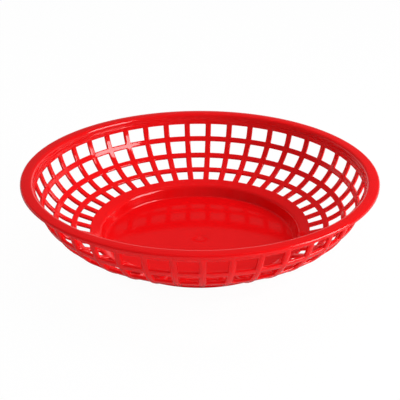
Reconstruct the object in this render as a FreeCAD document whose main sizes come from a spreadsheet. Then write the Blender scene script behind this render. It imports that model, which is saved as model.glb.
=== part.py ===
import FreeCAD, Part
import math
import os

import Sketcher

# Round serving basket, injection moulded in one piece.
# A flat floor in a shallow well, a shoulder, a curved wall with four rings of
# openings between ribs and hoops, a plain band and a rounded rim flange.
# Millimetres. The origin is the centre of the foot's underside and +Z is up.
# +Y runs through the middle of an opening, so a rib stands at -Y, the front.

SIZES = [
    ("rim_radius", "117.5", "outside of the rim flange"),
    ("rim_height", "52.9", "top of the rim above the table"),
    ("rim_thickness", "2.2", "thickness of the rim flange"),
    ("rim_inner_round", "2.4", "rounding of the rim's inner top edge"),
    ("rim_outer_round", "1.2", "rounding of the rim's outer top edge"),
    ("mouth_radius", "108.8", "inside of the plain band, at the rim's height"),
    ("band_draft", "3", "lean of the plain band in degrees"),
    ("band_length", "1.6", "straight part of the band, above the curve"),
    ("step_height", "4.6", "from the rim's top to the stacking step"),
    ("step_depth", "0.3", "depth of the stacking step"),
    ("wall_thickness", "2", "thickness of wall, well and floor"),
    ("wall_curve", "40", "inside radius of the curved wall"),
    ("bowl_slope", "18.5", "slope of the lower wall in degrees"),
    ("first_opening", "6.4", "from the start of the curve to the first ring of openings"),
    ("opening_height", "9.3", "opening, measured down the wall"),
    ("hoop_width", "3.9", "hoop between two rings of openings"),
    ("opening_flare", "0.2", "how far an opening widens towards the outside, at its top and its bottom"),
    ("rib_count", "41", "openings in a ring, and ribs"),
    ("rib_width", "4.3", "rib between two openings of a ring"),
    ("rib_back_width", "2.8", "raised back of a rib, on the outside"),
    ("rib_back_height", "0.3", "how far the back of a rib stands out"),
    ("shoulder_round", "3.5", "rounding of the shoulder above the well"),
    ("well_draft", "15", "lean of the well's wall in degrees"),
    ("floor_radius", "63.5", "flat part of the floor"),
    ("corner_round", "1.5", "rounding between the floor and the well's wall"),
    ("foot_radius", "61.5", "middle of the foot ring"),
    ("foot_width", "2.4", "width of the foot ring"),
    ("foot_height", "0.6", "foot ring below the floor's underside"),
    ("cutter_margin", "3", "how far a cutter passes the wall on each side"),
]
RING_COUNT = 4
FULL_TURN = 360

# Places that several features share, as expressions of the sizes
FLOOR_TOP = "(sizes.foot_height + sizes.wall_thickness)"
CURVE_X = ("(sizes.mouth_radius - sizes.band_length * sin(sizes.band_draft)"
           " - sizes.wall_curve * cos(sizes.band_draft))")
CURVE_Z = ("(sizes.rim_height - sizes.band_length * cos(sizes.band_draft)"
           " + sizes.wall_curve * sin(sizes.band_draft))")
CURVE_TURN = "(90 - sizes.bowl_slope - sizes.band_draft)"
RIB_END = ("(sizes.floor_radius + sizes.corner_round + sizes.wall_thickness"
           " + sizes.shoulder_round)")
BACK_OUT = "(sizes.wall_thickness + sizes.rib_back_height)"
BACK_IN = "(sizes.wall_thickness / 2)"

doc = FreeCAD.newDocument("serving_basket")


def make_sheet():
    """The driving dimensions, one to a row, each under its own name."""
    sheet = doc.addObject("Spreadsheet::Sheet", "sizes")
    for row, (name, value, meaning) in enumerate(SIZES, start=1):
        sheet.set(f"A{row}", meaning)
        sheet.set(f"B{row}", value)
        sheet.setAlias(f"B{row}", name)
    doc.recompute()
    return {name: float(getattr(sheet, name)) for name, _, _ in SIZES}


def origin_item(body, role):
    """One of the body's own origin planes or axes."""
    return next(item for item in body.Origin.OriginFeatures if item.Role == role)


def section_sketch(body, name):
    """A sketch in the plane through the axis and +Y: x is the radius and y is the height."""
    sketch = body.newObject("Sketcher::SketchObject", name)
    sketch.AttachmentSupport = [(origin_item(body, "YZ_Plane"), "")]
    sketch.MapMode = "FlatFace"
    return sketch


def bind(sketch, expression, kind, *places):
    """Add a constraint of this kind and tie its value to the sheet."""
    value = float(sketch.evalExpression(expression))
    if kind == "Angle":
        value = math.radians(value)
    index = sketch.addConstraint(Sketcher.Constraint(kind, *places, value))
    sketch.setExpression(f"Constraints[{index}]", expression)


def bind_point(sketch, piece, end, x, y):
    """Pin a point of the sketch at a radius and a height."""
    bind(sketch, x, "DistanceX", -1, 1, piece, end)
    bind(sketch, y, "DistanceY", -1, 1, piece, end)


def vector(point):
    return FreeCAD.Vector(point[0], point[1], 0)


def add_line(sketch, start, end):
    return sketch.addGeometry(Part.LineSegment(vector(start), vector(end)))


def polar(centre, radius, degrees):
    """The point at a distance and an angle from a centre."""
    angle = math.radians(degrees)
    return centre[0] + radius * math.cos(angle), centre[1] + radius * math.sin(angle)


class Run:
    """Lines and arcs in a row, each tangent to the one before."""

    def __init__(self, sketch):
        self.sketch = sketch
        self.pieces = []
        self.last_end = None

    def add(self, piece, start, end):
        if self.pieces:
            self.sketch.addConstraint(
                Sketcher.Constraint("Tangent", self.pieces[-1], self.last_end, piece, start))
        self.pieces.append(piece)
        self.last_end = end

    def line(self, start, end):
        self.add(add_line(self.sketch, start, end), 1, 2)

    def arc(self, centre, radius, first, last):
        """An arc from one angle to the other, in degrees."""
        circle = Part.Circle(vector(centre), FreeCAD.Vector(0, 0, 1), radius)
        low, high = sorted((math.radians(first), math.radians(last)))
        piece = self.sketch.addGeometry(Part.ArcOfCircle(circle, low, high))
        if first < last:
            self.add(piece, 1, 2)
        else:
            self.add(piece, 2, 1)


def wall_centres(size):
    """The centres of the wall's three roundings: curve, floor corner and shoulder."""
    slope = size["bowl_slope"]
    lean = size["well_draft"]
    draft = math.radians(size["band_draft"])
    band_end = (size["mouth_radius"] - size["band_length"] * math.sin(draft),
                size["rim_height"] - size["band_length"] * math.cos(draft))
    curve = polar(band_end, size["wall_curve"], 180 - size["band_draft"])
    floor = size["foot_height"] + size["wall_thickness"]
    corner = (size["floor_radius"], floor + size["corner_round"])
    # The shoulder's centre is where a line along the bowl meets a line along the well
    on_bowl = polar(curve, size["wall_curve"] + size["shoulder_round"], slope - 90)
    on_well = polar(corner, size["corner_round"] + size["shoulder_round"], -lean)
    bowl_rise = math.tan(math.radians(slope))
    well_run = math.tan(math.radians(lean))
    gap = on_bowl[1] + (on_well[0] - on_bowl[0]) * bowl_rise - on_well[1]
    rise = gap / (1 - well_run * bowl_rise)
    shoulder = (on_well[0] + rise * well_run, on_well[1] + rise)
    return curve, corner, shoulder


def wall_face(sketch, size, offset):
    """One face of the wall, from the axis to the rim, this far outside of the inner face."""
    curve, corner, shoulder = wall_centres(size)
    slope = size["bowl_slope"]
    draft = size["band_draft"]
    lean = size["well_draft"]
    floor = size["foot_height"] + size["wall_thickness"] - offset
    curve_round = size["wall_curve"] + offset
    corner_round = size["corner_round"] + offset
    shoulder_round = size["shoulder_round"] - offset
    band_start = polar(curve, curve_round, -draft)
    band_run = (size["rim_height"] - band_start[1]) * math.tan(math.radians(draft))
    face = Run(sketch)
    face.line((0, floor), (corner[0], floor))
    face.arc(corner, corner_round, -90, -lean)
    face.line(polar(corner, corner_round, -lean), polar(shoulder, shoulder_round, 180 - lean))
    face.arc(shoulder, shoulder_round, 180 - lean, 90 + slope)
    face.line(polar(shoulder, shoulder_round, 90 + slope), polar(curve, curve_round, slope - 90))
    face.arc(curve, curve_round, slope - 90, -draft)
    face.line(band_start, (band_start[0] + band_run, size["rim_height"]))
    return face.pieces


def wall_section(body, size):
    """Floor, well, shoulder, bowl and band: one wall of even thickness."""
    sketch = section_sketch(body, "wall_section")
    thickness = size["wall_thickness"]
    floor, corner, well, shoulder, bowl, curve, band = wall_face(sketch, size, 0)
    outside = wall_face(sketch, size, thickness)
    under_floor, under_corner, _, under_shoulder, _, under_curve, under_band = outside
    axis = add_line(sketch, (0, size["foot_height"]), (0, size["foot_height"] + thickness))
    lip = add_line(sketch, (size["mouth_radius"], size["rim_height"]),
                   (size["mouth_radius"] + thickness, size["rim_height"]))
    sketch.addConstraint([
        Sketcher.Constraint("Coincident", corner, 3, under_corner, 3),
        Sketcher.Constraint("Coincident", shoulder, 3, under_shoulder, 3),
        Sketcher.Constraint("Coincident", curve, 3, under_curve, 3),
        Sketcher.Constraint("Parallel", band, under_band),
        Sketcher.Constraint("Coincident", axis, 1, under_floor, 1),
        Sketcher.Constraint("Coincident", axis, 2, floor, 1),
        Sketcher.Constraint("Coincident", lip, 1, band, 2),
        Sketcher.Constraint("Coincident", lip, 2, under_band, 2),
        Sketcher.Constraint("PointOnObject", floor, 1, -2),
        Sketcher.Constraint("Vertical", axis),
        Sketcher.Constraint("Horizontal", floor),
        Sketcher.Constraint("Horizontal", under_floor),
        Sketcher.Constraint("Horizontal", lip)])
    bind_point(sketch, floor, 2, "sizes.floor_radius", FLOOR_TOP)
    bind_point(sketch, curve, 3, CURVE_X, CURVE_Z)
    bind(sketch, "sizes.rim_height", "DistanceY", -1, 1, band, 2)
    bind(sketch, "90 - sizes.well_draft", "Angle", well)
    bind(sketch, "sizes.bowl_slope", "Angle", bowl)
    bind(sketch, "90 - sizes.band_draft", "Angle", band)
    bind(sketch, "sizes.corner_round", "Radius", corner)
    bind(sketch, "sizes.shoulder_round", "Radius", shoulder)
    bind(sketch, "sizes.wall_curve", "Radius", curve)
    bind(sketch, "sizes.corner_round + sizes.wall_thickness", "Radius", under_corner)
    bind(sketch, "sizes.shoulder_round - sizes.wall_thickness", "Radius", under_shoulder)
    bind(sketch, "sizes.wall_curve + sizes.wall_thickness", "Radius", under_curve)
    return sketch


def outline_section(body, name, corners):
    """A closed outline with straight edges, whose corners are pairs of expressions.

    A corner without a height lies on the table.
    """
    sketch = section_sketch(body, name)
    places = [tuple(float(sketch.evalExpression(text)) if text else 0 for text in corner)
              for corner in corners]
    edges = [add_line(sketch, places[index - 1], place) for index, place in enumerate(places)]
    for index, edge in enumerate(edges):
        sketch.addConstraint(Sketcher.Constraint("Coincident", edges[index - 1], 2, edge, 1))
        radius, height = corners[index]
        bind(sketch, radius, "DistanceX", -1, 1, edge, 2)
        if height:
            bind(sketch, height, "DistanceY", -1, 1, edge, 2)
        else:
            sketch.addConstraint(Sketcher.Constraint("PointOnObject", edge, 2, -1))
    return sketch


def turned(body, kind, name, sketch):
    """A section turned about the basket's axis, to add it or to cut with it."""
    feature = body.newObject(f"PartDesign::{kind}", name)
    feature.Profile = sketch
    feature.ReferenceAxis = (origin_item(body, "Z_Axis"), [""])
    feature.Angle = FULL_TURN
    sketch.Visibility = False
    return feature


def rim_section(body):
    """The flat flange that stands out from the top of the band."""
    inner = "sizes.mouth_radius + sizes.wall_thickness / 2"
    underside = "sizes.rim_height - sizes.rim_thickness"
    return outline_section(body, "rim_section", [
        (inner, underside), ("sizes.rim_radius", underside),
        ("sizes.rim_radius", "sizes.rim_height"), (inner, "sizes.rim_height")])


def foot_section(body):
    """The low ring that the basket stands on."""
    inner = "sizes.foot_radius - sizes.foot_width / 2"
    outer = "sizes.foot_radius + sizes.foot_width / 2"
    inside_floor = "sizes.foot_height + sizes.wall_thickness / 2"
    return outline_section(body, "foot_section", [
        (inner, None), (outer, None), (outer, inside_floor), (inner, inside_floor)])


def step_section(body):
    """The shallow step inside the band, where the next basket of a stack stops."""
    clear = "sizes.mouth_radius - sizes.cutter_margin"
    wall = "sizes.mouth_radius + sizes.step_depth"
    ledge = "sizes.rim_height - sizes.step_height"
    top = "sizes.rim_height + sizes.cutter_margin"
    return outline_section(body, "step_section", [
        (clear, ledge), (wall, ledge), (wall, top), (clear, top)])


def wall_point(place, out, past_curve=False):
    """The expressions of a point this far down the wall and outside of its inner face."""
    radius = f"(sizes.wall_curve + {out})"
    if not past_curve:
        # On the curve: an angle about the curve's centre
        turn = f"(sizes.band_draft + {place} / sizes.wall_curve * 180 / pi)"
        return f"{CURVE_X} + {radius} * cos({turn})", f"{CURVE_Z} - {radius} * sin({turn})"
    # On the straight wall below the curve: a distance past the curve's end
    run = f"({place} - {CURVE_TURN} * pi / 180 * sizes.wall_curve)"
    return (f"{CURVE_X} + {radius} * sin(sizes.bowl_slope) - {run} * cos(sizes.bowl_slope)",
            f"{CURVE_Z} - {radius} * cos(sizes.bowl_slope) - {run} * sin(sizes.bowl_slope)")


def opening_section(body, ring):
    """The section of one opening, square to the wall and a little wider on the outside.

    The last ring starts on the curve and ends on the straight wall below it.
    """
    top = f"(sizes.first_opening + {ring} * (sizes.opening_height + sizes.hoop_width))"
    inside = "(-sizes.cutter_margin)"
    outside = "(sizes.wall_thickness + sizes.cutter_margin)"
    last = ring == RING_COUNT - 1
    corners = []
    for place, away, outs, past_curve in (
            (top, "-", (inside, outside), False),
            (f"({top} + sizes.opening_height)", "+", (outside, inside), last)):
        for out in outs:
            widened = f"({place} {away} sizes.opening_flare * {out} / sizes.wall_thickness)"
            corners.append(wall_point(widened, out, past_curve))
    return outline_section(body, f"opening_section_{ring + 1}", corners)


def opening(body, ring):
    """One opening of a ring, cut between two ribs."""
    sketch = opening_section(body, ring)
    cut = turned(body, "Groove", f"opening_{ring + 1}", sketch)
    cut.Midplane = True
    middle = f"(sizes.first_opening + {ring} * (sizes.opening_height + sizes.hoop_width)" \
             " + sizes.opening_height / 2)"
    radius = wall_point(middle, "0")[0]
    cut.setExpression("Angle", f"360 / sizes.rib_count - sizes.rib_width / ({radius}) * 180 / pi")
    return cut


def rib_back_section(body, size):
    """The raised back of one rib, from the rim to the shoulder."""
    sketch = section_sketch(body, "rib_back_section")
    sketch.setExpression("AttachmentOffset.Rotation.Angle", "180 / sizes.rib_count")
    sketch.AttachmentOffset = FreeCAD.Placement(
        FreeCAD.Vector(), FreeCAD.Rotation(FreeCAD.Vector(0, 1, 0), 180 / size["rib_count"]))
    curve = wall_centres(size)[0]
    slope = size["bowl_slope"]
    draft = size["band_draft"]
    end_x = float(sketch.evalExpression(RIB_END))
    top_z = size["rim_height"] - size["rim_thickness"] / 2
    faces = []
    for out in (BACK_IN, BACK_OUT):
        radius = size["wall_curve"] + float(sketch.evalExpression(out))
        low = polar(curve, radius, slope - 90)
        high = polar(curve, radius, -draft)
        end_z = low[1] - (low[0] - end_x) * math.tan(math.radians(slope))
        face = Run(sketch)
        face.line((end_x, end_z), low)
        face.arc(curve, radius, slope - 90, -draft)
        face.line(high, (high[0] + (top_z - high[1]) * math.tan(math.radians(draft)), top_z))
        bowl, bend, band = face.pieces
        bind(sketch, f"sizes.wall_curve + {out}", "Radius", bend)
        bind_point(sketch, bend, 3, CURVE_X, CURVE_Z)
        bind(sketch, "sizes.bowl_slope", "Angle", bowl)
        bind(sketch, "90 - sizes.band_draft", "Angle", band)
        bind(sketch, RIB_END, "DistanceX", -1, 1, bowl, 1)
        bind(sketch, "sizes.rim_height - sizes.rim_thickness / 2", "DistanceY", -1, 1, band, 2)
        faces.append((bowl, band))
    (bowl_in, band_in), (bowl_out, band_out) = faces
    for near, far, end in ((bowl_in, bowl_out, 1), (band_in, band_out, 2)):
        edge = sketch.addGeometry(Part.LineSegment(
            sketch.getPoint(near, end), sketch.getPoint(far, end)))
        sketch.addConstraint(Sketcher.Constraint("Coincident", edge, 1, near, end))
        sketch.addConstraint(Sketcher.Constraint("Coincident", edge, 2, far, end))
    return sketch


def rim_edge(shape, size, pick):
    """The name of the circle on the rim's top face with the smallest or largest radius."""
    circles = {}
    for number, edge in enumerate(shape.Edges, start=1):
        if isinstance(edge.Curve, Part.Circle) and abs(edge.Curve.Center.z - size["rim_height"]) < 1e-6:
            circles[edge.Curve.Radius] = f"Edge{number}"
    return circles[pick(circles)]


def round_rim(body, size, name, pick, expression):
    """Round the inner or the outer edge of the rim's top face."""
    doc.recompute()
    edge = rim_edge(body.Shape, size, pick)
    base = body.Tip
    feature = body.newObject("PartDesign::Fillet", name)
    feature.Base = (base, [edge])
    feature.setExpression("Radius", expression)
    return feature


def around(body, name, features):
    """Repeat features about the basket's axis, once for each rib."""
    pattern = body.newObject("PartDesign::PolarPattern", name)
    pattern.Originals = features
    pattern.Axis = (origin_item(body, "Z_Axis"), [""])
    pattern.Angle = FULL_TURN
    pattern.setExpression("Occurrences", "sizes.rib_count")
    body.Tip = pattern
    return pattern


def make_basket(size):
    body = doc.addObject("PartDesign::Body", "basket")
    body.Label = "basket"
    turned(body, "Revolution", "wall", wall_section(body, size))
    turned(body, "Revolution", "rim", rim_section(body))
    turned(body, "Revolution", "foot", foot_section(body))
    turned(body, "Groove", "stacking_step", step_section(body))
    round_rim(body, size, "rim_inner_edge", min, "sizes.rim_inner_round")
    round_rim(body, size, "rim_outer_edge", max, "sizes.rim_outer_round")
    back = body.newObject("PartDesign::Pad", "rib_back")
    back.Profile = rib_back_section(body, size)
    back.SideType = "Symmetric"
    back.setExpression("Length", "sizes.rib_back_width")
    around(body, "rib_backs", [back])
    doc.recompute()
    uncut = body.Shape.Volume
    around(body, "openings", [opening(body, ring) for ring in range(RING_COUNT)])
    doc.recompute()
    print(f"openings take {(uncut - body.Shape.Volume) / 1000:.2f} cm3 out of {uncut / 1000:.2f} cm3")
    if body.Shape.Volume >= uncut:
        raise RuntimeError("the openings cut nothing")
    return body


def check(bodies):
    """Stop if any feature failed or any part isn't one sound solid."""
    for item in doc.Objects:
        if {"Invalid", "Error"} & set(item.State):
            raise RuntimeError(f"{item.Name} failed: {item.State}")
    for body in bodies:
        shape = body.Shape
        if shape.isNull() or not shape.isValid() or len(shape.Solids) != 1:
            raise RuntimeError(f"{body.Label} is not one sound solid")


def main():
    size = make_sheet()
    bodies = [make_basket(size)]
    check(bodies)
    os.makedirs("parts", exist_ok=True)
    for body in bodies:
        body.Shape.exportStep(f"parts/{body.Label}.step")
        box = body.Shape.BoundBox
        print(body.Label, f"{body.Shape.Volume / 1000:.2f} cm3",
              f"x {box.XMin:.2f}..{box.XMax:.2f} z {box.ZMin:.2f}..{box.ZMax:.2f}")


main()
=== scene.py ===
# %% [markdown]
# # Serving basket
# A round basket for serving food, injection moulded in one piece from glossy red
# polypropylene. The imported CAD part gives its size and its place. This lesson builds
# the same moulding again with the soft edges that a mould leaves, gives it its
# plastic, and stands it on a plain pale table under soft studio light.

import math

import bmesh
import bpy
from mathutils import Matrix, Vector


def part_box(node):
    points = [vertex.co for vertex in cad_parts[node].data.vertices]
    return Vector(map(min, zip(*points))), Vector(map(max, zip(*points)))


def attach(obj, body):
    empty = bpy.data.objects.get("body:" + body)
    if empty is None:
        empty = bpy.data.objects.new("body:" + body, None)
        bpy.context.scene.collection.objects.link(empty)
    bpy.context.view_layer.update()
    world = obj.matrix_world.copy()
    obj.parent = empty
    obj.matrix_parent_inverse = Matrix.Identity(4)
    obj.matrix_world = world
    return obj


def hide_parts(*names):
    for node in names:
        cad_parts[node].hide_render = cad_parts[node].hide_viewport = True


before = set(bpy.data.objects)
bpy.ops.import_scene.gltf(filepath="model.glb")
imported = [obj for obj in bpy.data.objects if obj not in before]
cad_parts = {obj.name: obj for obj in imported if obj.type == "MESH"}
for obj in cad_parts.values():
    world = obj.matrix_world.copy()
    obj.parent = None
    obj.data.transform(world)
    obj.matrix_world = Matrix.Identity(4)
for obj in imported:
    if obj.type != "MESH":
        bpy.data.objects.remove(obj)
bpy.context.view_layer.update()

# %% [markdown]
# ## The wall's section
# On the real basket one curved sheet of plastic runs from the rim down to the floor.
# Its section could be drawn by hand as a curve. Here it is worked out, because the
# round parts of a moulding are true arcs: a long one for the wall, a small one at the
# shoulder and another in the floor's corner. Each arc's centre serves the inner and
# the outer face, which keeps the wall equally thick. The rim's height is read from
# the CAD part, so the moulding always fits its box. The other sizes are the ones that
# the part was designed with, in millimetres.

# %% Sizes of the section
MM = 0.001
RIM_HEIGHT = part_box("basket")[1].z / MM
MOUTH_RADIUS = 108.8
WALL = 2.0
BAND_LENGTH = 1.6
BAND_DRAFT = math.radians(3)
WALL_CURVE = 40.0
BOWL_SLOPE = math.radians(18.5)
SHOULDER_ROUND = 3.5
WELL_DRAFT = math.radians(15)
CORNER_ROUND = 1.5
FLOOR_RADIUS = 63.5
FOOT_HEIGHT = 0.6
FLOOR_TOP = FOOT_HEIGHT + WALL
print("depth inside in mm:", round(RIM_HEIGHT - FLOOR_TOP, 1))


# %% Centres of the arcs
def polar(centre, radius, angle):
    """The point at a distance and an angle from a centre, in the section's plane."""
    return centre[0] + radius * math.cos(angle), centre[1] + radius * math.sin(angle)


band_end = (MOUTH_RADIUS - BAND_LENGTH * math.sin(BAND_DRAFT),
            RIM_HEIGHT - BAND_LENGTH * math.cos(BAND_DRAFT))
curve_centre = polar(band_end, WALL_CURVE, math.pi - BAND_DRAFT)
corner_centre = (FLOOR_RADIUS, FLOOR_TOP + CORNER_ROUND)
# The shoulder's arc touches the bowl's slope and the well's wall, which both lean
on_bowl = polar(curve_centre, WALL_CURVE + SHOULDER_ROUND, BOWL_SLOPE - math.pi / 2)
on_well = polar(corner_centre, CORNER_ROUND + SHOULDER_ROUND, -WELL_DRAFT)
above = on_bowl[1] + (on_well[0] - on_bowl[0]) * math.tan(BOWL_SLOPE) - on_well[1]
rise = above / (1 - math.tan(WELL_DRAFT) * math.tan(BOWL_SLOPE))
shoulder_centre = (on_well[0] + rise * math.tan(WELL_DRAFT), on_well[1] + rise)
print("shoulder's centre in mm:", [round(x, 2) for x in shoulder_centre])

# %% Points along the section
CURVE_LENGTH = (math.pi / 2 - BOWL_SLOPE - BAND_DRAFT) * WALL_CURVE


def on_wall(down, depth):
    """Radius and height this far down the wall's inner face, and this deep under it."""
    if down < 0:
        x, z = polar(curve_centre, WALL_CURVE + depth, -BAND_DRAFT)
        return x - down * math.sin(BAND_DRAFT), z - down * math.cos(BAND_DRAFT)
    if down < CURVE_LENGTH:
        return polar(curve_centre, WALL_CURVE + depth, -BAND_DRAFT - down / WALL_CURVE)
    x, z = polar(curve_centre, WALL_CURVE + depth, BOWL_SLOPE - math.pi / 2)
    run = down - CURVE_LENGTH
    return x - run * math.cos(BOWL_SLOPE), z - run * math.sin(BOWL_SLOPE)


def down_at(height, depth):
    """How far down the curve the face at this depth reaches a height."""
    turn = math.asin((curve_centre[1] - height) / (WALL_CURVE + depth))
    return (turn - BAND_DRAFT) * WALL_CURVE


def arc(centre, radius, first, last, steps):
    """Points along an arc, both ends included."""
    return [polar(centre, radius, first + (last - first) * i / steps) for i in range(steps + 1)]


print("the wall's arc in mm:", round(CURVE_LENGTH, 1))

# %% [markdown]
# ## One sector between two ribs
# The basket repeats every 41st of a turn, so only one sector is drawn, from the middle
# of one rib to the middle of the next. It is a grid of quads: columns run up the wall
# and rows run round it. In each of the four rings of openings the middle of the grid
# is left out, and loops of points lead from the inner face through the opening to the
# outer face. A boolean cut would be shorter to write, but loops give every opening
# the soft, even edges of moulded plastic and leave only clean quads.

# %% Sizes of the openings, ribs and hoops
RIBS = 41
RINGS = 4
RIB_WIDTH = 4.3
HOOP_WIDTH = 3.9
FIRST_OPENING = 6.4
OPENING_HEIGHT = 9.3
HALF_PITCH = math.pi / RIBS


def opening_top(ring):
    """How far down the wall the openings of a ring start."""
    return FIRST_OPENING + ring * (OPENING_HEIGHT + HOOP_WIDTH)


LAST_OPENING = opening_top(RINGS - 1) + OPENING_HEIGHT
print("openings:", RIBS * RINGS, "down to", round(LAST_OPENING, 1), "mm below the band")

# %% How the points lie across a sector
SIDE_POINTS = 8
# Columns on half a rib, as distances from its middle, and where the openings' loops begin
INNER_SIDE = (0.0, 0.25, 0.5)
OUTER_SIDE = (0.0, 0.9, 1.25)
INNER_LOOP = 0.75
OUTER_LOOP = 1.45
CORNER_GAP = 0.6


def corner_spread(low, high):
    """Eight places from low to high: three near each end, the rest evenly between."""
    a, b = low + 2 * CORNER_GAP, high - 2 * CORNER_GAP
    third = (b - a) / 3
    return [low, low + CORNER_GAP, a, a + third, b - third, b, high - CORNER_GAP, high]


def row_angles(radius, outside):
    """The angle of each column across the sector, at this radius."""
    side = OUTER_SIDE if outside else INNER_SIDE
    edge = OUTER_LOOP if outside else INNER_LOOP
    half = HALF_PITCH * radius
    left = [x - half for x in side]
    middle = corner_spread(edge - half, half - edge)
    return [x / radius for x in left + middle + [-x for x in reversed(left)]]


print("columns in a row:", len(row_angles(MOUTH_RADIUS, False)))

# %% [markdown]
# ## Rib backs
# Each rib is a little thicker on the outside than the hoops that it crosses, as the
# photograph's front shows. Its back is a low, rounded ridge that fades out above the
# shoulder. It could be a second piece laid on the wall, but a moulding has no seams,
# so the outer face itself is pushed out there.

# %% How far a rib's back stands out
RIB_BACK_WIDTH = 2.8
RIB_BACK_HEIGHT = 0.3
RIB_BACK_FLAT = 0.8
RIB_FADE = 3.0


def smooth(x):
    """0 below 0, 1 above 1, and a soft step in between."""
    x = min(max(x, 0), 1)
    return x * x * (3 - 2 * x)


def rib_back(from_rib, down):
    """Height of the ridge this far from a rib's middle and this far down the wall."""
    foot = RIB_BACK_WIDTH / 2
    across = 1 - smooth((from_rib - RIB_BACK_FLAT) / (foot - RIB_BACK_FLAT))
    along = 1 - smooth((down - LAST_OPENING - HOOP_WIDTH / 2) / RIB_FADE)
    return RIB_BACK_HEIGHT * across * along


print("ridge on a rib's middle in mm:", rib_back(0, FIRST_OPENING))

# %% [markdown]
# ## Loops through an opening
# A mould's edges are never sharp. Each bar's inner face rolls over softly into the
# opening, so that bars look rounded and the crossings between them stay flat. Below
# the roll the opening widens outwards, which lets the moulding slide off its core,
# and the outer edge is rounded a little too. A bevel could round the edges, but not
# differently on ribs and hoops. Here every loop is one line of points round the
# opening, and the roll is a quarter of an ellipse.

# %% How deep each loop lies and how far it cuts into the bars
INNER_ROLL = 0.9
INNER_ROLL_DEPTH = 0.5
ROLL_STEPS = 3
FLARE = ((0.05, 0.0, 1.2), (0.22, 0.05, 1.7), (0.6, 0.3, WALL))
# Each loop: how far it cuts into the ribs, into the hoops, and its depth in the wall
loops = []
for i in range(ROLL_STEPS + 1):
    turn = math.pi / 2 * i / ROLL_STEPS
    cut = INNER_ROLL * (1 - math.sin(turn))
    loops.append((cut, cut, INNER_ROLL_DEPTH * (1 - math.cos(turn))))
loops += FLARE
print("loops through an opening:", len(loops))

# %% Round corners of a loop
OPENING_CORNER = 0.4
CORNER_TURNS = (math.pi / 4, math.pi * 3 / 8, math.pi / 2)


def loop_side(low, high, corner):
    """Places along one side of a rounded loop, from one corner's middle to the next."""
    near = [low + corner * (1 - math.cos(turn)) for turn in CORNER_TURNS]
    far = [high - corner * (1 - math.cos(turn)) for turn in reversed(CORNER_TURNS)]
    third = (far[0] - near[-1]) / 3
    return near + [near[-1] + third, far[0] - third] + far


def corner_inset(corner):
    """How far the loop's points lie inside of its straight side, near a corner."""
    bent = [corner * (1 - math.sin(turn)) for turn in CORNER_TURNS[:2]]
    return bent + [0] * (SIDE_POINTS - 4) + bent[::-1]


print("inset at a corner's middle in mm:", round(corner_inset(OPENING_CORNER)[0], 2))

# %% One loop, point by point
BLEND_START = 0.3
BLEND_LENGTH = 0.4


def opening_loop(top, cut_rib, cut_hoop, depth):
    """The points of one loop, as angle, radius and height, from the top left corner."""
    low, high = top - cut_hoop, top + OPENING_HEIGHT + cut_hoop
    half = HALF_PITCH * on_wall((low + high) / 2, 0)[0]
    side = half - RIB_WIDTH / 2 + cut_rib
    # The wider a loop is cut, the larger its corners are
    corner = OPENING_CORNER + (cut_rib + cut_hoop) / 4
    inset = corner_inset(corner)
    across = loop_side(-side, side, corner)
    downward = loop_side(low, high, corner)
    places = [(x, low + inset[i]) for i, x in enumerate(across)]
    places += [(side - inset[i], y) for i, y in enumerate(downward)][1:]
    places += [(x, high - inset[i]) for i, x in enumerate(across)][-2::-1]
    places += [(inset[i] - side, y) for i, y in enumerate(downward)][-2:0:-1]
    points = []
    for x, down in places:
        # Near a rib the distance from its middle is kept, whatever the radius here
        from_middle = HALF_PITCH + (abs(x) - half) / on_wall(down, 0)[0]
        near_rib = smooth((abs(x) / half - BLEND_START) / BLEND_LENGTH)
        angle = x / half * HALF_PITCH * (1 - near_rib) + math.copysign(from_middle, x) * near_rib
        points.append((angle, *on_wall(down, depth)))
    return points


print("points in a loop:", len(opening_loop(FIRST_OPENING, *loops[0])))

# %% [markdown]
# ## The well and the foot
# Under the openings the wall bends over the shoulder, drops into the well and turns
# into the flat floor. In the floor's middle is the gate mark, the small round dent
# where the plastic was let into the mould. Underneath is a low foot ring that carries
# the basket. All of this is a list of radii and heights: a lathe-like outline could
# be spun with the Screw modifier, but the wall above needs its columns, so the same
# columns simply run on.

# %% Rows of the shoulder, the well and the floor
GATE_RADIUS = 2.0
GATE_DEPTH = 0.1
GATE_EDGE = 0.2
GATE_MIDDLE = 1.0
FLOOR_LINES = (12.0, 36.0, 56.0, 62.6)
gate_low = FLOOR_TOP - GATE_DEPTH
well_rows = [(GATE_MIDDLE, gate_low), (GATE_RADIUS - GATE_EDGE, gate_low),
             (GATE_RADIUS, FLOOR_TOP - GATE_DEPTH / 2), (GATE_RADIUS + GATE_EDGE, FLOOR_TOP)]
well_rows += [(x, FLOOR_TOP) for x in FLOOR_LINES]
well_rows += arc(corner_centre, CORNER_ROUND, -math.pi / 2, -WELL_DRAFT, steps=5)
well_rows += arc(shoulder_centre, SHOULDER_ROUND, math.pi - WELL_DRAFT,
                 math.pi / 2 + BOWL_SLOPE, steps=6)
print("rows inside the well:", len(well_rows))

# %% Rows of the underside and the foot ring
FOOT_RADIUS = 61.5
FOOT_WIDTH = 2.4
FOOT_EDGE = 0.2
foot_out, foot_in = FOOT_RADIUS + FOOT_WIDTH / 2, FOOT_RADIUS - FOOT_WIDTH / 2
under_rows = arc(shoulder_centre, SHOULDER_ROUND - WALL, math.pi / 2 + BOWL_SLOPE,
                 math.pi - WELL_DRAFT, steps=4)
under_rows += arc(corner_centre, CORNER_ROUND + WALL, -WELL_DRAFT, -math.pi / 2, steps=5)
under_rows += [(foot_out, FOOT_HEIGHT), (foot_out, FOOT_EDGE), (foot_out - FOOT_EDGE, 0),
               (foot_in + FOOT_EDGE, 0), (foot_in, FOOT_EDGE), (foot_in, FOOT_HEIGHT)]
under_rows += [(x, FOOT_HEIGHT) for x in FLOOR_LINES[1::-1]]
print("rows under the well:", len(under_rows))

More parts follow.
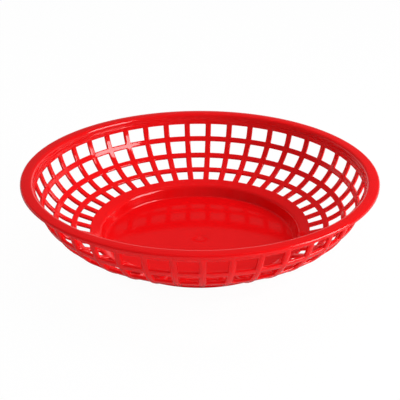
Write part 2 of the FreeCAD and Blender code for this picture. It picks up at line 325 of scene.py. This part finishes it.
# %% [markdown]
# ## The rim
# The wide flange stiffens the thin basket and gives the hand a hold. It turns into the
# mouth with a large soft rounding, and its outer edge is rounded a little. Just below
# the mouth is a shallow step, which keeps stacked baskets from wedging together. The
# roundings could come from a Bevel modifier, but as arcs in the same outline they get
# exactly the radius of the real moulding.

# %% Rows of the stacking step
STEP_HEIGHT = 4.6
STEP_DEPTH = 0.3
STEP_EDGE = 0.2
STEP_LINE = 0.9
# The middle of each of the step's two small roundings
EDGE_OUT, EDGE_DOWN = 0.06, 0.04
CORNER_CUT = 0.05
step_wall = MOUTH_RADIUS + STEP_DEPTH
ledge = RIM_HEIGHT - STEP_HEIGHT
ledge_down = down_at(ledge, 0)
ledge_edge = on_wall(ledge_down, 0)[0]
step_rows = [on_wall(ledge_down + STEP_LINE, 0), on_wall(ledge_down + STEP_EDGE, 0),
             (ledge_edge + EDGE_OUT, ledge - EDGE_DOWN), (ledge_edge + STEP_EDGE, ledge),
             (step_wall - STEP_EDGE, ledge), (step_wall - CORNER_CUT, ledge + CORNER_CUT),
             (step_wall, ledge + STEP_EDGE)]
print("the step's ledge is", round(ledge, 1), "mm high and", round(step_wall - ledge_edge, 2), "mm wide")

# %% Rows of the flange
RIM_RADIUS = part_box("basket")[1].x / MM
RIM_THICKNESS = 2.2
RIM_INNER_ROUND = 2.4
RIM_OUTER_ROUND = 1.2
UNDER_EDGE = 0.25
UNDER_LINES = (1.2, 3.0)
under_rim = RIM_HEIGHT - RIM_THICKNESS
rim_rows = arc((step_wall + RIM_INNER_ROUND, RIM_HEIGHT - RIM_INNER_ROUND), RIM_INNER_ROUND,
               math.pi, math.pi / 2, steps=6)
rim_rows += arc((RIM_RADIUS - RIM_OUTER_ROUND, RIM_HEIGHT - RIM_OUTER_ROUND), RIM_OUTER_ROUND,
                math.pi / 2, 0, steps=5)
rim_rows += [(RIM_RADIUS, under_rim + UNDER_EDGE), (RIM_RADIUS - UNDER_EDGE, under_rim)]
rim_rows += [(RIM_RADIUS - x, under_rim) for x in UNDER_LINES]
print("flange, from the mouth out, in mm:", round(RIM_RADIUS - step_wall, 1))

# %% [markdown]
# ## Rows that cross the openings
# Each row on the wall knows its angles, radii and heights. Rows beside an opening have
# points on the ribs only, and one round of border points marks where the grid stops
# and the opening's loops begin.

# %% Rows on the wall
OUTER_BORDER = 1.1


def wall_row(down, outside):
    """A row round the wall, which climbs over the ribs' backs on the outside."""
    radius, _ = on_wall(down, 0)
    points = []
    for angle in row_angles(radius, outside):
        ridge = rib_back((HALF_PITCH - abs(angle)) * radius, down)
        points.append((angle, *on_wall(down, WALL + ridge if outside else 0)))
    return points


def ring_rows(ring, outside):
    """How far down the rows beside a ring's openings lie."""
    border = OUTER_BORDER if outside else HOOP_WIDTH / 2 - INNER_LOOP
    top = opening_top(ring)
    return corner_spread(top - border, top + OPENING_HEIGHT + border)


print("rows beside the first ring in mm:", [round(down, 1) for down in ring_rows(0, False)])

# %% [markdown]
# ## Making the mesh
# The sector's points become a mesh, which is then spun round the axis 41 times. The
# copies meet in the middle of the ribs, and merging the doubled points there closes
# the whole moulding into one watertight skin. An Array modifier round an empty would
# make the copies too, but the merge is easier to check on a finished mesh.

# %% Helpers that turn rows into quads
sector = bmesh.new()


def add_row(points):
    """Vertices from angles, radii and heights. The opening's middle faces +Y."""
    return [sector.verts.new(Vector((-math.sin(angle) * radius, math.cos(angle) * radius, height)) * MM)
            for angle, radius, height in points]


def join_rows(first, second, columns=None):
    """Quads between two rows, in all columns or in some."""
    for i in columns or range(len(first) - 1):
        sector.faces.new((first[i], first[i + 1], second[i + 1], second[i]))


def join_all(rows):
    for first, second in zip(rows, rows[1:]):
        join_rows(first, second)


# %% The wall's two faces, with a border round each opening
LEFT = len(INNER_SIDE)
RIGHT = LEFT + SIDE_POINTS - 1
COLUMNS = RIGHT + LEFT + 1
on_ribs = [*range(LEFT), *range(RIGHT, COLUMNS - 1)]


def border_of(rows):
    """The points round an opening, from its top left corner."""
    border = rows[0][LEFT:RIGHT + 1]
    border += [row[RIGHT] for row in rows[1:]]
    border += rows[-1][LEFT:RIGHT][::-1]
    return border + [row[LEFT] for row in rows[-2:0:-1]]


def wall_face(outside):
    """All rows of one face from the top hoop down: the first, the last and the borders."""
    first = last = add_row(wall_row(FIRST_OPENING - HOOP_WIDTH / 2, outside))
    borders = []
    for ring in range(RINGS):
        rows = [add_row(wall_row(down, outside)) for down in ring_rows(ring, outside)]
        join_rows(last, rows[0])
        for above_row, below_row in zip(rows, rows[1:]):
            join_rows(above_row, below_row, on_ribs)
        borders.append(border_of(rows))
        hoop = opening_top(ring) + OPENING_HEIGHT + HOOP_WIDTH / 2
        last = add_row(wall_row(hoop, outside))
        join_rows(rows[-1], last)
        for row in rows[1:-1]:
            # Points inside the opening belong to no face
            for vertex in row[LEFT + 1:RIGHT]:
                sector.verts.remove(vertex)
    return first, last, borders


inner_top, inner_low, inner_borders = wall_face(False)
outer_top, outer_low, outer_borders = wall_face(True)
print("both faces of the wall:", len(sector.faces), "quads")

# %% Lead the loops through each opening
for ring in range(RINGS):
    lines = [inner_borders[ring]]
    lines += [add_row(opening_loop(opening_top(ring), *loop)) for loop in loops]
    lines.append(outer_borders[ring])
    join_all([line + line[:1] for line in lines])
print("sector with openings:", len(sector.faces), "quads")

# %% Over the rim
top_down = FIRST_OPENING - HOOP_WIDTH / 2
low_down = LAST_OPENING + HOOP_WIDTH / 2


def plain_rows(points, down, outside):
    """Rows whose columns keep the angles that they have this far down the wall."""
    angles = row_angles(on_wall(down, 0)[0], outside)
    return [add_row([(angle, x, z) for angle in angles]) for x, z in points]


upper = [inner_top] + plain_rows(step_rows + rim_rows, top_down, False)
# Here the band and the rib backs run into the underside of the flange
meet = [(angle, x, under_rim) for angle, x, _ in wall_row(down_at(under_rim, WALL), True)]
upper += [add_row(meet), add_row(wall_row(top_down / 2, True)), outer_top]
join_all(upper)
print("sector with its rim:", len(sector.faces), "quads")

# %% Down to the middle of the floor
for start, rows, outside, height in ((inner_low, well_rows[::-1], False, gate_low),
                                     (outer_low, under_rows, True, FOOT_HEIGHT)):
    lower = [start] + plain_rows(rows, low_down, outside)
    join_all(lower)
    middle = sector.verts.new((0, 0, height * MM))
    for a, b in zip(lower[-1], lower[-1][1:]):
        sector.faces.new((a, b, middle))
print("whole sector:", len(sector.faces), "faces")

# %% Spin the sector and merge the seams
MERGE_DISTANCE = 0.002
bmesh.ops.spin(sector, geom=sector.verts[:] + sector.edges[:] + sector.faces[:], cent=(0, 0, 0),
               axis=(0, 0, 1), angle=math.tau, steps=RIBS, use_duplicate=True,
               use_merge=False, use_normal_flip=False)
# The first sector and the last copy lie in the same place, and merge too
bmesh.ops.remove_doubles(sector, verts=sector.verts[:], dist=MERGE_DISTANCE * MM)
bmesh.ops.recalc_face_normals(sector, faces=sector.faces[:])
open_edges = sum(1 for edge in sector.edges if len(edge.link_faces) != 2)
mesh = bpy.data.meshes.new("basket_moulding")
sector.to_mesh(mesh)
sector.free()
mesh.polygons.foreach_set("use_smooth", [True] * len(mesh.polygons))
print("moulding:", len(mesh.vertices), "vertices,", len(mesh.polygons), "faces,",
      open_edges, "edges without two faces")

# %% Stand in for the CAD node
basket = bpy.data.objects.new("basket_moulding", mesh)
bpy.context.scene.collection.objects.link(basket)
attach(basket, "root")
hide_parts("basket")
print("basket's size in mm:", [round(x / MM, 1) for x in basket.dimensions])

# %% [markdown]
# ## Glossy red polypropylene
# The basket is polypropylene, coloured right through and moulded against a polished
# steel tool. That gives the eye a clean, saturated red with a sharp, wet-looking
# gloss. One flat colour would look like paint on a screen, so two noises are laid
# over the whole body: a wide one varies the tint and the gloss a little, as the flow
# of the melt does, and a fine one ripples the skin, as shrinking does. Both are drawn
# in the object's own space, so they stay with the basket.


# %% Colours and nodes
def srgb(text):
    """An sRGB hex colour as the linear values that Blender works in."""
    channels = [int(text[i:i + 2], 16) / 255 for i in (1, 3, 5)]
    return [c / 12.92 if c <= 0.04045 else ((c + 0.055) / 1.055) ** 2.4 for c in channels] + [1]


def add_node(tree, kind, settings=None, links=None):
    """A node with its settings, and with links from other nodes' sockets to its inputs."""
    node = tree.nodes.new(kind)
    for name, value in (settings or {}).items():
        if name in node.inputs:
            node.inputs[name].default_value = value
        else:
            setattr(node, name, value)
    for name, source in (links or {}).items():
        tree.links.new(source, node.inputs[name])
    return node


# %% The plastic's flow and skin
FLOW_SIZE = 14.0
SKIN_SIZE = 1.6
plastic = bpy.data.materials.new("injection_moulded_polypropylene_red")
plastic.use_nodes = True
tree = plastic.node_tree
place = add_node(tree, "ShaderNodeTexCoord")
flow = add_node(tree, "ShaderNodeTexNoise", {"Scale": 1 / (FLOW_SIZE * MM), "Detail": 3.0},
                {"Vector": place.outputs["Object"]})
skin = add_node(tree, "ShaderNodeTexNoise", {"Scale": 1 / (SKIN_SIZE * MM), "Detail": 2.0},
                {"Vector": place.outputs["Object"]})
bump = add_node(tree, "ShaderNodeBump", {"Strength": 0.06, "Distance": 0.02 * MM},
                {"Height": skin.outputs["Fac"]})
print("flow marks", FLOW_SIZE, "mm wide, skin ripple", SKIN_SIZE, "mm wide")

# %% The plastic's colour and gloss
POLYPROPYLENE_IOR = 1.49
tint = add_node(tree, "ShaderNodeMix", {"data_type": "RGBA"}, {"Factor": flow.outputs["Fac"]})
tint.inputs["A"].default_value = srgb("#E4080C")
tint.inputs["B"].default_value = srgb("#EA0A0F")
gloss = add_node(tree, "ShaderNodeMapRange", {"To Min": 0.06, "To Max": 0.1},
                 {"Value": flow.outputs["Fac"]})
shader = tree.nodes["Principled BSDF"]
shader.inputs["IOR"].default_value = POLYPROPYLENE_IOR
tree.links.new(tint.outputs["Result"], shader.inputs["Base Color"])
tree.links.new(gloss.outputs["Result"], shader.inputs["Roughness"])
tree.links.new(bump.outputs["Normal"], shader.inputs["Normal"])
basket.data.materials.append(plastic)
print("basket's material:", plastic.name, "with", len(tree.nodes), "nodes")

# %% [markdown]
# ## The table and its white
# The photograph has a white background and almost no shadow. Lamps strong enough to
# burn a real table to white would spoil the red. So the table has the plain colour of
# white paper, and Light Path shows it nearly white to the camera and through anything
# clear. The small share that is left of the lit paper keeps the basket's faint shadow.
# In the basket's gloss the table is a pale grey, as it is in the photograph, where
# the outside of the wall stays a clean red.

# %% A sheet of paper for the table
TABLE_SIZE = 6.0
table_half = TABLE_SIZE / 2
table_mesh = bpy.data.meshes.new("table")
table_mesh.from_pydata([(-table_half, -table_half, 0), (table_half, -table_half, 0),
                        (table_half, table_half, 0), (-table_half, table_half, 0)],
                       [], [(0, 1, 2, 3)])
table = bpy.data.objects.new("table", table_mesh)
bpy.context.scene.collection.objects.link(table)
print("table:", TABLE_SIZE, "m square")


# %% Which rays see the white background
def seen_straight(tree, rays):
    """1 for rays from the camera or through a clear material, and 0 for all others."""
    either = add_node(tree, "ShaderNodeMath", {"operation": "MAXIMUM"},
                      {0: rays.outputs["Is Camera Ray"], 1: rays.outputs["Is Transmission Ray"]})
    return either.outputs[0]


# %% The paper
paper = bpy.data.materials.new("matt_white_backdrop_paper")
paper.use_nodes = True
tree = paper.node_tree
rays = add_node(tree, "ShaderNodeLightPath")
tone = add_node(tree, "ShaderNodeMix", {"data_type": "RGBA"}, {"Factor": rays.outputs["Is Glossy Ray"]})
tone.inputs["A"].default_value = srgb("#F8F8F8")
tone.inputs["B"].default_value = srgb("#A8A8A8")
surface = tree.nodes["Principled BSDF"]
surface.inputs["Roughness"].default_value = 0.9
surface.inputs["Specular IOR Level"].default_value = 0.1
tree.links.new(tone.outputs["Result"], surface.inputs["Base Color"])
white_share = add_node(tree, "ShaderNodeMath", {"operation": "MULTIPLY"}, {0: seen_straight(tree, rays)})
white_share.inputs[1].default_value = 0.97
white = add_node(tree, "ShaderNodeEmission", {"Color": (1, 1, 1, 1), "Strength": 1.0})
mixed = add_node(tree, "ShaderNodeMixShader", None,
                 {0: white_share.outputs[0], 1: surface.outputs[0], 2: white.outputs[0]})
tree.links.new(mixed.outputs[0], tree.nodes["Material Output"].inputs["Surface"])
table.data.materials.append(paper)
print("table's material:", paper.name)

# %% [markdown]
# ## Light of the room
# Soft light from all sides comes from the world. It is stronger from behind than from
# the front, because in the photograph the flange and the floor are brighter than the
# back wall's inside, which faces the front. A glossy plastic also mirrors the room,
# and white on all sides would lay a pale veil over the red. Photographers stand dark
# cards round such an object and leave the white only behind it. Real cards could be
# built here too, but they would take away soft light, so glossy rays alone see them:
# white low behind the basket, and a dim room above and in front.

# %% What lights the basket and what its gloss mirrors
world = bpy.data.worlds.new("studio")
bpy.context.scene.world = world
world.use_nodes = True
tree = world.node_tree
direction = add_node(tree, "ShaderNodeTexCoord")
parts = add_node(tree, "ShaderNodeSeparateXYZ", None, {0: direction.outputs["Generated"]})
soft_light = add_node(tree, "ShaderNodeMapRange", {"From Min": -0.6, "From Max": 0.6,
                                                   "To Min": 0.2, "To Max": 0.56},
                      {"Value": parts.outputs["Y"]})
near_table = add_node(tree, "ShaderNodeMapRange", {"From Min": -0.1, "From Max": 0.5,
                                                   "To Min": 0.15, "To Max": 0.95},
                      {"Value": parts.outputs["Y"]})
mirrored = add_node(tree, "ShaderNodeMapRange", {"From Min": 0.08, "From Max": 0.3, "To Max": 0.1},
                    {"Value": parts.outputs["Z"], "To Min": near_table.outputs["Result"]})
print("world:", world.name, "with", len(tree.nodes), "nodes so far")

# %% Put the room together
rays = add_node(tree, "ShaderNodeLightPath")
strength = add_node(tree, "ShaderNodeMix", {"data_type": "FLOAT"},
                    {"Factor": rays.outputs["Is Glossy Ray"], "A": soft_light.outputs["Result"],
                     "B": mirrored.outputs["Result"]})
room = tree.nodes["Background"]
room.inputs["Color"].default_value = (1, 1, 1, 1)
tree.links.new(strength.outputs["Result"], room.inputs["Strength"])
backdrop = add_node(tree, "ShaderNodeBackground", {"Color": (1, 1, 1, 1), "Strength": 1.0})
seen_as = add_node(tree, "ShaderNodeMixShader", None,
                   {0: seen_straight(tree, rays), 1: room.outputs[0], 2: backdrop.outputs[0]})
tree.links.new(seen_as.outputs[0], tree.nodes["World Output"].inputs["Surface"])
print("world:", world.name, "with", len(tree.nodes), "nodes")

# %% [markdown]
# ## Lamps
# The key light stands at the right, where the left part of the wall mirrors it: that
# draws the pale streaks on the ribs and hoops and along the shoulder. A wide lamp above
# and behind lifts the flange and the floor, and a long low card in front lifts the
# outside of the wall. A polarising filter could keep those two out of the gloss on a
# real set, and here a switch on each lamp does.

# %% Soft boxes
AIM = (0, 0, 0.02)


def soft_box(name, place, width, depth, watts, mirrored=True):
    """A square lamp that faces the basket."""
    lamp = bpy.data.lights.new(name, "AREA")
    lamp.shape = "RECTANGLE"
    lamp.size, lamp.size_y = width, depth
    lamp.energy = watts
    holder = bpy.data.objects.new(name, lamp)
    holder.location = place
    holder.rotation_euler = (Vector(AIM) - Vector(place)).to_track_quat("-Z", "Y").to_euler()
    holder.visible_glossy = mirrored
    bpy.context.scene.collection.objects.link(holder)
    print(name, "of", watts, "W")


soft_box("key_light", (0.64, -0.17, 0.36), 0.45, 0.4, 4.8)
soft_box("top_light", (0, 0.35, 1.1), 0.8, 0.6, 5.0, mirrored=False)
soft_box("front_card", (0, -0.8, 0.04), 1.2, 0.08, 1.7, mirrored=False)

# %% [markdown]
# ## Camera
# The photograph looks down at the basket from the front with a long lens. A camera
# could be placed by eye. This one was found by fitting the rim, the openings and the
# floor to the photograph, which gives its place, its tilt and its lens together.

# %% The camera
SENSOR = 36.0
PHOTO_PIXELS = 400
FOCAL_PIXELS = 843.1
CAMERA_SIDE = 0.1
CAMERA_DISTANCE = 514.1
CAMERA_HEIGHT = 275.4
PITCH = math.radians(25.478)
TURN = math.radians(-0.89)
NEAREST = 0.01
camera = bpy.data.objects.new("camera", bpy.data.cameras.new("camera"))
camera.data.sensor_width = SENSOR
camera.data.lens = FOCAL_PIXELS / PHOTO_PIXELS * SENSOR
camera.data.clip_start = NEAREST
x, y = CAMERA_SIDE, -CAMERA_DISTANCE
camera.location = Vector((x * math.cos(TURN) - y * math.sin(TURN),
                          x * math.sin(TURN) + y * math.cos(TURN), CAMERA_HEIGHT)) * MM
camera.rotation_euler = (math.pi / 2 - PITCH, 0, TURN)
bpy.context.scene.collection.objects.link(camera)
bpy.context.scene.camera = camera
bpy.context.scene.view_settings.view_transform = "Standard"
print("lens in mm:", round(camera.data.lens, 1))
